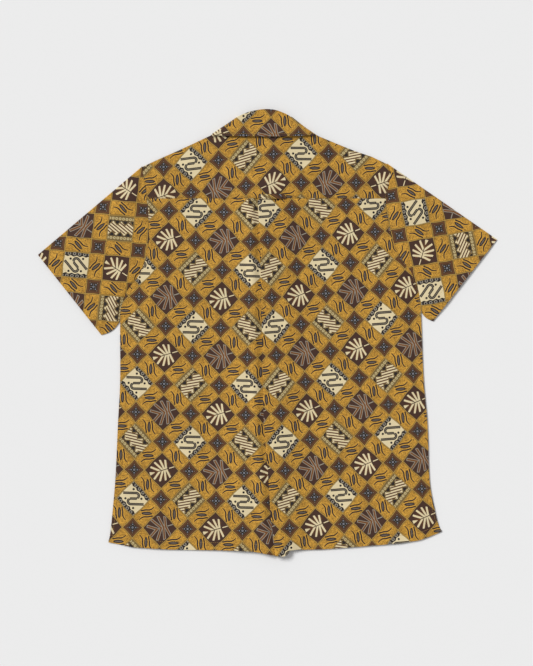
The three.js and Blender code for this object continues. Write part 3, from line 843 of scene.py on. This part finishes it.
def make_loop():
    left, right, low, high = LOOP
    rows = []
    for up in spread(6):
        y = mix(low, high, up)
        row = []
        for t in spread(24):
            x = mix(left, right, t)
            z = yoke_z(x, YOKE_SEAM + 6) + LAYER + 0.8 + LOOP_BOW * math.sin(math.pi * t)
            place = cloth_place("yoke", x * 0.3 + 60, y + x)
            row.append(((x, y, z), (0, 0, 1), place))
        rows.append(row)
    obj = cloth_piece("hanger_loop_strip", rows, "hanger_loop", thickness=0.9)


def front_end(row, side):
    neck = len(NECK) - 1
    if row <= neck:
        seam_x, seam_y = spline([item[:2] for item in NECK], row)
        return CENTRE + side * seam_x, seam_y
    if row > ARMHOLE_ROWS:
        return CENTRE - side * LAP, spline(LEFT_EDGE, row)[1]
    down = (row - neck) / (ARMHOLE_ROWS - neck)
    return CENTRE - side * LAP, mix(NECK[neck][1], LEFT_EDGE[ARMHOLE_ROWS][1], down)


def make_front(name, node, edge, side, height, cut):
    last = len(edge) - 1
    rows = []
    for t in spread(90):
        position = mix(0, last, t)
        outer = spline(edge, position)
        inner = front_end(position, side)
        bend = ramp(position, VENT_ROW, last) ** 2
        shoulder = clamp01(1 - position)
        row = []
        for s in spread(60):
            x = mix(outer[0], inner[0], s)
            straight = mix(outer[1], inner[1], s)
            y = straight + shoulder * (shoulder_y(x) - straight)
            y += bend * (line_y(HEM, x) + FRONT_HEM_INSET - straight)
            row.append(pt(x, y, height(x, y) + LOWEST, cut))
        rows.append(row)
    obj = cloth_piece(name, rows, node)


STAND_STEPS = spread(8)
COLLAR_STEPS = spread(16)


def turned_side(inner, outer, steps, lower, upper, side, turns=8):
    length = math.hypot(outer[0] - inner[0], outer[1] - inner[1])
    away = (side * (inner[1] - outer[1]) / length, side * (outer[0] - inner[0]) / length)
    rows = []
    for k in range(turns + 1):
        angle = math.pi * k / turns
        row = []
        for t in steps:
            x, y = mix(inner[0], outer[0], t), mix(inner[1], outer[1], t)
            radius = (upper(x, y) - lower(x, y)) / 2
            reach = radius * (math.sin(angle) - 0.8)
            z = lower(x, y) + radius * (1 - math.cos(angle))
            out = (away[0] * math.sin(angle), away[1] * math.sin(angle), -math.cos(angle))
            row.append(((x + away[0] * reach, y + away[1] * reach, z), out, cloth_place("collar", x, y)))
        rows.append(row)
    return rows


def station(inner, outer, steps, height, facing):
    row = []
    for t in steps:
        x, y = mix(inner[0], outer[0], t), mix(inner[1], outer[1], t)
        row.append(((x, y, height(x, y)), (0, 0, facing), cloth_place("collar", x, y)))
    return row


def on_back(x, y):
    return back_z(x, y) + MIDDLE


def over_stand(x, y):
    edge = COLLAR_BACK[0][3]
    lift = FALL_LIFT * smooth(ramp(y, FALL_LIFT_FROM, edge)) + FALL_CURL * smooth(ramp(y, edge + 22, edge))
    return back_z(x, y) + LAYER + lift + MIDDLE + GAP


def leaf_height(x, y):
    return LEAF_HEIGHT


def collar_leaf(row, side):
    front = (CENTRE + side * LEAF_ROLL[0], LEAF_ROLL[1])
    tip = (CENTRE + side * LEAF_POINT[0], LEAF_POINT[1])
    rows = []
    for t in spread(14)[:-1]:
        inner = (mix(front[0], row[0], t), mix(front[1], row[1], t))
        outer = (mix(tip[0], row[2], t), mix(tip[1], row[3], t))
        rows.append(station(inner, outer, COLLAR_STEPS, leaf_height, -1))
    return rows


def make_collar():
    left, right = COLLAR_BACK[0], COLLAR_BACK[-1]
    middle_rows = []
    for t in spread(40)[2:-2]:
        row = spline(COLLAR_BACK, t * (len(COLLAR_BACK) - 1))
        middle_rows.append(station(row[0:2], row[2:4], COLLAR_STEPS, over_stand, 1))
    rows = collar_leaf(left, -1)
    rows += turned_side(left[0:2], left[2:4], COLLAR_STEPS, leaf_height, over_stand, -1)
    rows += middle_rows
    rows += turned_side(right[0:2], right[2:4], COLLAR_STEPS, leaf_height, over_stand, 1)[::-1]
    rows += collar_leaf(right, 1)[::-1]
    fall = cloth_piece("collar_fall_cloth", rows, "collar_fall", thickness=1.0)

    def stand_front(side, height):
        found = []
        for t in spread(20)[:-1]:
            seam_x, seam_y, top_x, top_y = spline(NECK[::-1], t * (len(NECK) - 1))
            top = (CENTRE + side * top_x, top_y)
            seam = (CENTRE + side * (seam_x - GAP), seam_y + GAP)
            found.append(station(top, seam, STAND_STEPS, lambda x, y: height(x, y) + MIDDLE, -1))
        return found

    def fold(row, side, height):
        return turned_side(
            (row[0] - side * STAND_INSET, row[1] - STAND_INSET),
            (row[4] - side * STAND_INSET, row[5] + STAND_INSET),
            STAND_STEPS, lambda x, y: height(x, y) + MIDDLE, on_back, side,
        )

    rows = stand_front(-1, left_front_z)
    rows += fold(left, -1, left_front_z)
    for t in spread(30)[1:-1]:
        row = spline(COLLAR_BACK, t * (len(COLLAR_BACK) - 1))
        rows.append(station((row[0], row[1] - STAND_INSET), (row[4], row[5] + 0.5), STAND_STEPS, on_back, 1))
    rows += fold(right, 1, right_front_z)[::-1]
    rows += stand_front(1, right_front_z)[::-1]
    stand = cloth_piece("collar_stand_cloth", rows, "collar_stand", thickness=0.8)


def armhole(edge, side):
    rows = edge[:ARMHOLE_ROWS]
    found = []
    for i, row in enumerate(rows):
        before, after = rows[max(0, i - 1)], rows[min(len(rows) - 1, i + 1)]
        length = math.hypot(after[0] - before[0], after[1] - before[1])
        room = UNDERARM_ROOM if i == len(rows) - 1 else GAP
        found.append((
            row[0] + side * (before[1] - after[1]) / length * room,
            row[1] + side * (after[0] - before[0]) / length * room,
        ))
    return found


def sleeve_turn(point, away, over):
    """The cloth's way round a pressed edge of a sleeve, from one layer to the other."""
    (x, y, high), _, place = point
    radius = (high - LOWEST) / 2
    found = []
    for k in range(1, 5):
        angle = math.pi * k / 5
        reach = radius * math.sin(angle)
        z = LOWEST + radius * (1 + over * math.cos(angle))
        out = (away[0] * math.sin(angle), away[1] * math.sin(angle), over * math.cos(angle))
        found.append(((x + away[0] * reach, y + away[1] * reach, z), out, place))
    return found


def make_sleeve(node, edge, side, shape, creases):
    end = armhole(edge, side)
    last = len(end) - 1

    def direction(a, b):
        length = math.hypot(b[0] - a[0], b[1] - a[1])
        return side * (b[1] - a[1]) / length, side * (a[0] - b[0]) / length

    upward = direction(shape["top"], end[0])
    downward = direction(end[last], shape["under"])
    rows = []
    for t in spread(52):
        f = from_seam(t)
        upper, lower = [], []
        for s in spread(56):
            start = spline(end, s * last)
            dip = s * s * math.sin(math.pi * f)
            hem = [mix(shape["top"][k], shape["under"][k], s) for k in (0, 1)]
            x = mix(start[0], hem[0], f) + shape["bend"][0] * dip
            y = mix(start[1], hem[1], f) + shape["bend"][1] * dip
            upper.append(pt(x, y, sleeve_z(creases, x, y, f, s), node))
            lower.append(((x, y, LOWEST), (0, 0, -1), cloth_place(node, x, y)))

        around = upper + sleeve_turn(upper[-1], downward, 1)
        rows.append(around + lower[::-1] + sleeve_turn(upper[0], upward, -1))
    obj = cloth_piece(node + "_cloth", rows, node, tube=True)


# ---------------------------------------------------------------- buttons

BUTTON_PROFILE = [
    (0, 1.95), (3.4, 1.95), (4.0, 2.0), (4.5, 2.2), (5.2, 2.2), (5.6, 2.0), (5.75, 1.5), (5.75, 0.9),
    (5.5, 0.35), (5.0, 0.05), (4.4, 0.05), (3.9, 0.5), (3.3, 0.65), (0, 0.65),
]
HOLE_PLACES = [(-1.1, -1.1), (1.1, -1.1), (1.1, 1.1), (-1.1, 1.1)]
HOLE_RADIUS = 0.65


def lathe(mesh, profile, cx, cy, segments):
    """Turns a profile of radius and height round an upright axis; it starts and ends on the axis."""
    rings = []
    for radius, height in profile:
        ring = []
        for k in range(1 if radius == 0 else segments):
            angle = 2 * math.pi * k / segments
            place = (cx + radius * math.cos(angle), cy + radius * math.sin(angle), height)
            ring.append(mesh.verts.new([c * MM for c in place]))
        rings.append(ring)
    for one, two in zip(rings, rings[1:]):
        for k in range(segments):
            corners = [one[k % len(one)], two[k % len(two)], two[(k + 1) % len(two)], one[(k + 1) % len(one)]]
            mesh.faces.new(list(dict.fromkeys(corners)))


def lathed(name, turnings, segments):
    """An object of lathe turnings: profile and place of each."""
    mesh = bmesh.new()
    for profile, cx, cy in turnings:
        lathe(mesh, profile, cx, cy, segments)
    bmesh.ops.recalc_face_normals(mesh, faces=mesh.faces)
    data = bpy.data.meshes.new(name)
    mesh.to_mesh(data)
    mesh.free()
    obj = bpy.data.objects.new(name, data)
    bpy.context.scene.collection.objects.link(obj)
    return obj


def settle(obj):
    """Turns an object with modifiers into its plain mesh."""
    bpy.context.view_layer.update()
    result = bpy.data.meshes.new_from_object(obj.evaluated_get(bpy.context.evaluated_depsgraph_get()))
    result.name = obj.name
    obj.modifiers.clear()
    obj.data = result


def make_button(node):
    """A turned four-hole button: a rounded rim, a dished face and four drilled holes."""
    low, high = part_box(node)
    cx, cy = (low[0] + high[0]) / 2 / MM, (low[1] + high[1]) / 2 / MM
    obj = lathed(node + "_resin", [(BUTTON_PROFILE, cx, cy)], 40)
    drill = [(0, -1), (HOLE_RADIUS, -1), (HOLE_RADIUS, 4), (0, 4)]
    holes = lathed("drill", [(drill, cx + dx, cy + dy) for dx, dy in HOLE_PLACES], 12)
    cut = obj.modifiers.new("holes", "BOOLEAN")
    cut.object = holes
    settle(obj)
    bpy.data.objects.remove(holes)
    obj.data.polygons.foreach_set("use_smooth", [True] * len(obj.data.polygons))
    obj.data.set_sharp_from_angle(angle=math.radians(40))
    obj.data.materials.append(polished_resin())
    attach(obj, "root")
    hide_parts(node)
    return cx, cy


THREAD_FACE = 0.45             # height of the thread across a button's face
SHANK_TOP = 2.5                # where the thread enters the cloth above the button
BUTTONHOLE = 18                # length of a buttonhole
BUTTONHOLE_LIPS = 0.7          # half the distance between its two rows


def make_buttons():
    crosses, holes = [], []
    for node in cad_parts:
        if node.startswith("button"):
            cx, cy = make_button(node)
            for side in (-1, 1):
                start, end = cx - 1.1, cx + 1.1
                y = cy + side * 1.1
                crosses.append([(start, y, SHANK_TOP), (start, y, THREAD_FACE), (end, y, THREAD_FACE),
                                (end, y, SHANK_TOP)])
                x = cx + side * BUTTONHOLE_LIPS
                ends = (cy - BUTTONHOLE / 2, cy + BUTTONHOLE / 2)
                holes.append([(x, y, left_front_z(x, y) - 0.05) for y in ends])
    stitch_rows("button_threads", crosses, pitch=0.5, length=0.8, width=0.55)
    stitch_rows("buttonhole_stitches", holes, pitch=0.6, length=0.45, width=1.2)


# ---------------------------------------------------------------- seams in thread

def stitch_tree():
    """A path becomes a row of stitches: inputs for pitch, length, width and thread."""
    tree = bpy.data.node_groups.new("stitch_row", "GeometryNodeTree")
    face = tree.interface
    face.new_socket("Geometry", in_out="INPUT", socket_type="NodeSocketGeometry")
    for label in ("Pitch", "Length", "Width"):
        face.new_socket(label, in_out="INPUT", socket_type="NodeSocketFloat")
    face.new_socket("Thread", in_out="INPUT", socket_type="NodeSocketMaterial")
    face.new_socket("Geometry", in_out="OUTPUT", socket_type="NodeSocketGeometry")
    node = partial(add, tree)
    given = node("NodeGroupInput")
    curve = node("GeometryNodeMeshToCurve", {"Mesh": given["Geometry"]})
    spaced = node("GeometryNodeResampleCurve", {"Curve": curve, "Length": given["Pitch"]}, mode="LENGTH")
    turned = node("FunctionNodeAlignRotationToVector", {"Vector": node("GeometryNodeInputTangent")}, axis="X")
    size = node("ShaderNodeCombineXYZ", (given["Length"], given["Width"], given["Width"]))
    stitch = node("GeometryNodeMeshUVSphere", {"Segments": 6, "Rings": 4, "Radius": 0.5})
    shaped = node("GeometryNodeTransform", {"Geometry": stitch, "Scale": size})
    row = {"Points": spaced, "Instance": shaped, "Rotation": turned}
    real = node("GeometryNodeRealizeInstances", {"Geometry": node("GeometryNodeInstanceOnPoints", row)})
    finished = node("GeometryNodeSetMaterial", {"Geometry": real, "Material": given["Thread"]})
    node("NodeGroupOutput", {"Geometry": finished})
    return tree


def stitch_rows(name, paths, pitch=None, length=None, width=None):
    """Sews rows of stitches along paths of places in millimetres, as one plain mesh."""
    sizes = bpy.context.scene.shirt_sizes
    verts, edges = [], []
    for path in paths:
        first = len(verts)
        verts += [(x * MM, y * MM, z * MM) for x, y, z in path]
        edges += [(k, k + 1) for k in range(first, len(verts) - 1)]
    mesh = bpy.data.meshes.new(name)
    mesh.from_pydata(verts, edges, [])
    obj = bpy.data.objects.new(name, mesh)
    bpy.context.scene.collection.objects.link(obj)
    tree = bpy.data.node_groups.get("stitch_row") or stitch_tree()
    modifier = obj.modifiers.new("stitches", "NODES")
    modifier.node_group = tree
    values = {
        "Pitch": (pitch or sizes.stitch_pitch) * MM,
        "Length": (length or sizes.stitch_length) * MM,
        "Width": (width or sizes.stitch_width) * MM,
        "Thread": sewing_thread(),
    }
    for item in tree.interface.items_tree:
        if item.in_out == "INPUT" and item.name in values:
            modifier[item.identifier] = values[item.name]
    settle(obj)
    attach(obj, "root")


SURFACE = MIDDLE + 0.42        # from a panel's tabled height to just on its face
SEAM_STITCH = 2.2              # rows of topstitching lie this far from a seam
HEM_STITCH = 14
VENT_STITCH = 7
SLEEVE_HEM_STITCH = 21


def hem_paths():
    before, after = [], []
    for x in range(-286, 314, 4):
        y = line_y(HEM, x) + HEM_STITCH
        fold = level_of(PLEAT, 1, y)
        if x < fold - 2:
            before.append((x, y, panel_z(x, y) + SURFACE))
        elif x > fold + 42:
            after.append((x, y, panel_z(x, y) + SURFACE))
    return [before, after]


def edge_path(edge, start, end, inset, count):
    path = []
    side = 1 if edge is RIGHT_EDGE else -1
    for t in spread(count):
        x, y = spline(edge, mix(start, end, t))
        x -= side * inset
        height = yoke_z(x, y) if y > YOKE_SEAM else panel_z(x, y)
        path.append((x, y, height + SURFACE))
    return path


def sleeve_hem_path(shape, creases):
    top, under = Vector(shape["top"]), Vector(shape["under"])
    inward = Vector((under.y - top.y, top.x - under.x)).normalized() * SLEEVE_HEM_STITCH
    if (inward.x > 0) == (top.x > 0):
        inward.negate()
    path = []
    for s in spread(60):
        along = 0.02 + 0.955 * s
        place = top.lerp(under, along) + inward
        path.append((place.x, place.y, sleeve_z(creases, place.x, place.y, 1, along) + 0.4))
    return path


def make_stitches():
    y = YOKE_SEAM + SEAM_STITCH
    seam = [(x, y, yoke_z(x, y) + SURFACE) for x in range(-216, 213, 3)]
    stitch_rows("yoke_seam_stitches", [seam])
    vents = [edge_path(edge, VENT_ROW, len(edge) - 1.2, VENT_STITCH, 30) for edge in (LEFT_EDGE, RIGHT_EDGE)]
    stitch_rows("hem_and_vent_stitches", hem_paths() + vents)
    end = ARMHOLE_ROWS - 1.3
    armholes = [edge_path(edge, 0.05, end, SEAM_STITCH, 90) for edge in (LEFT_EDGE, RIGHT_EDGE)]
    stitch_rows("armhole_stitches", armholes)
    sleeves = ((LEFT_SLEEVE, LEFT_SLEEVE_CREASES), (RIGHT_SLEEVE, RIGHT_SLEEVE_CREASES))
    stitch_rows("sleeve_hem_stitches", [sleeve_hem_path(*sleeve) for sleeve in sleeves])
    edge = []
    for t in spread(90):
        row = spline(COLLAR_BACK, 0.3 + t * (len(COLLAR_BACK) - 1.6))
        x, y = mix(row[0], row[2], 0.9), mix(row[1], row[3], 0.9)
        edge.append((x, y, over_stand(x, y) + 0.6))
    stitch_rows("collar_edge_stitches", [edge])


# ---------------------------------------------------------------- stage

def make_stage():
    scene = bpy.context.scene
    size = 6.0
    floor = bpy.data.meshes.new("floor")
    corners = [(-size, -size), (size, -size), (size, size), (-size, size)]
    floor.from_pydata([(x, y, -0.0004) for x, y in corners], [], [(0, 1, 2, 3)])
    floor.materials.append(studio_paper())
    obj = bpy.data.objects.new("floor", floor)
    scene.collection.objects.link(obj)
    camera = bpy.data.cameras.new("camera")
    camera.lens = 85
    camera.sensor_width = 36
    view = bpy.data.objects.new("camera", camera)
    view.location = (-0.0018, -0.0004, 2.863)
    scene.collection.objects.link(view)
    scene.camera = view
    key = bpy.data.lights.new("key", "SUN")
    key.energy = 2.6
    key.angle = math.radians(24)
    lamp = bpy.data.objects.new("key", key)
    lamp.rotation_euler = Vector((-0.62, 0.5, 0.85)).to_track_quat("Z", "Y").to_euler()
    scene.collection.objects.link(lamp)
    world = bpy.data.worlds.new("studio")
    world.use_nodes = True
    world.node_tree.nodes["Background"].inputs["Color"].default_value = (1, 1, 1, 1)
    world.node_tree.nodes["Background"].inputs["Strength"].default_value = 0.42
    scene.world = world
    scene.view_settings.view_transform = "Standard"


# ---------------------------------------------------------------- the add-on

class ShirtSizes(bpy.types.PropertyGroup):
    """Sizes that a user would change, in millimetres unless a property says otherwise."""
    step_across: bpy.props.FloatProperty(
        name="Print Step Across", description="Half the width of the print's grid, in millimetres",
        default=50.0, min=10.0)
    step_down: bpy.props.FloatProperty(
        name="Print Step Down", description="Half the height of the print's grid, in millimetres",
        default=52.5, min=10.0)
    crease: bpy.props.FloatProperty(
        name="Creases", description="How strongly the cloth is creased",
        default=1.0, min=0.0, max=2.0, subtype="FACTOR")
    stitch_pitch: bpy.props.FloatProperty(
        name="Stitch Pitch", description="Distance from a stitch to the next, in millimetres",
        default=3.4, min=1.0)
    stitch_length: bpy.props.FloatProperty(
        name="Stitch Length", description="Length of thread that shows in each stitch, in millimetres",
        default=2.4, min=0.5)
    stitch_width: bpy.props.FloatProperty(
        name="Thread Width", description="Width of the sewing thread, in millimetres",
        default=0.6, min=0.1)


def colour(name, description, text):
    return bpy.props.FloatVectorProperty(
        name=name, description=description, size=4, subtype="COLOR", default=linear(text), min=0.0, max=1.0)


class ShirtColours(bpy.types.PropertyGroup):
    """Colours that a user would change."""
    gold: colour("Gold", "Ground of the print", "#DDA63C")
    gold_shade: colour("Gold Shade", "Where the ground took more dye", "#96681C")
    curl: colour("Curls", "Fine curls drawn on the ground", "#6B4914")
    brown: colour("Brown", "Ground of the leaf blocks", "#44291C")
    cream: colour("Cream", "Undyed cloth", "#EAD8AC")
    grey: colour("Grey", "Outlines and rings", "#A09888")
    thread: colour("Thread", "Sewing thread", "#B08A46")
    buttons: colour("Buttons", "Resin of the buttons", "#4A3424")


class SHIRT_OT_back(bpy.types.Operator):
    """Makes the back with its centre pleat"""
    bl_idname = "batik_shirt.back"
    bl_label = "Back"

    def execute(self, context):
        make_back_panel()
        return {"FINISHED"}


class SHIRT_OT_yoke(bpy.types.Operator):
    """Makes the yoke and the hanger loop on its seam"""
    bl_idname = "batik_shirt.yoke"
    bl_label = "Yoke and Loop"

    def execute(self, context):
        make_yoke()
        make_loop()
        return {"FINISHED"}


class SHIRT_OT_fronts(bpy.types.Operator):
    """Makes the two fronts underneath"""
    bl_idname = "batik_shirt.fronts"
    bl_label = "Fronts"

    def execute(self, context):
        make_front("left_front_cloth", "left_front", LEFT_EDGE, -1, left_front_z, "front_left")
        make_front("right_front_cloth", "right_front", RIGHT_EDGE, 1, right_front_z, "front_right")
        return {"FINISHED"}


class SHIRT_OT_collar(bpy.types.Operator):
    """Makes the collar's fall and stand"""
    bl_idname = "batik_shirt.collar"
    bl_label = "Collar"

    def execute(self, context):
        make_collar()
        return {"FINISHED"}


class SHIRT_OT_sleeves(bpy.types.Operator):
    """Makes both short sleeves"""
    bl_idname = "batik_shirt.sleeves"
    bl_label = "Sleeves"

    def execute(self, context):
        make_sleeve("left_sleeve", LEFT_EDGE, -1, LEFT_SLEEVE, LEFT_SLEEVE_CREASES)
        make_sleeve("right_sleeve", RIGHT_EDGE, 1, RIGHT_SLEEVE, RIGHT_SLEEVE_CREASES)
        return {"FINISHED"}


class SHIRT_OT_buttons(bpy.types.Operator):
    """Makes the buttons down the front, with their thread and buttonholes"""
    bl_idname = "batik_shirt.buttons"
    bl_label = "Buttons"

    def execute(self, context):
        make_buttons()
        return {"FINISHED"}


class SHIRT_OT_stitches(bpy.types.Operator):
    """Sews the rows of topstitching"""
    bl_idname = "batik_shirt.stitches"
    bl_label = "Stitches"

    def execute(self, context):
        make_stitches()
        return {"FINISHED"}


class SHIRT_OT_stage(bpy.types.Operator):
    """Sets the floor, light and camera"""
    bl_idname = "batik_shirt.stage"
    bl_label = "Stage"

    def execute(self, context):
        make_stage()
        return {"FINISHED"}


OPERATORS = (
    SHIRT_OT_back, SHIRT_OT_yoke, SHIRT_OT_fronts, SHIRT_OT_collar, SHIRT_OT_sleeves,
    SHIRT_OT_buttons, SHIRT_OT_stitches, SHIRT_OT_stage,
)


class SHIRT_PT_panel(bpy.types.Panel):
    """Lists the shirt's sizes, colours and pieces"""
    bl_label = "Batik Shirt"
    bl_idname = "SHIRT_PT_panel"
    bl_space_type = "VIEW_3D"
    bl_region_type = "UI"
    bl_category = "Batik Shirt"

    def draw(self, context):
        for group in (context.scene.shirt_sizes, context.scene.shirt_colours):
            for name in group.__annotations__:
                self.layout.prop(group, name)
        for operator in OPERATORS:
            self.layout.operator(operator.bl_idname)


CLASSES = (ShirtSizes, ShirtColours) + OPERATORS + (SHIRT_PT_panel,)


def register():
    for item in CLASSES:
        bpy.utils.register_class(item)
    bpy.types.Scene.shirt_sizes = bpy.props.PointerProperty(type=ShirtSizes)
    bpy.types.Scene.shirt_colours = bpy.props.PointerProperty(type=ShirtColours)


def unregister():
    del bpy.types.Scene.shirt_colours
    del bpy.types.Scene.shirt_sizes
    for item in reversed(CLASSES):
        bpy.utils.unregister_class(item)


def main():
    register()
    bpy.ops.batik_shirt.back()
    bpy.ops.batik_shirt.yoke()
    bpy.ops.batik_shirt.fronts()
    bpy.ops.batik_shirt.collar()
    bpy.ops.batik_shirt.sleeves()
    bpy.ops.batik_shirt.buttons()
    bpy.ops.batik_shirt.stitches()
    bpy.ops.batik_shirt.stage()


if __name__ == "__main__":
    main()
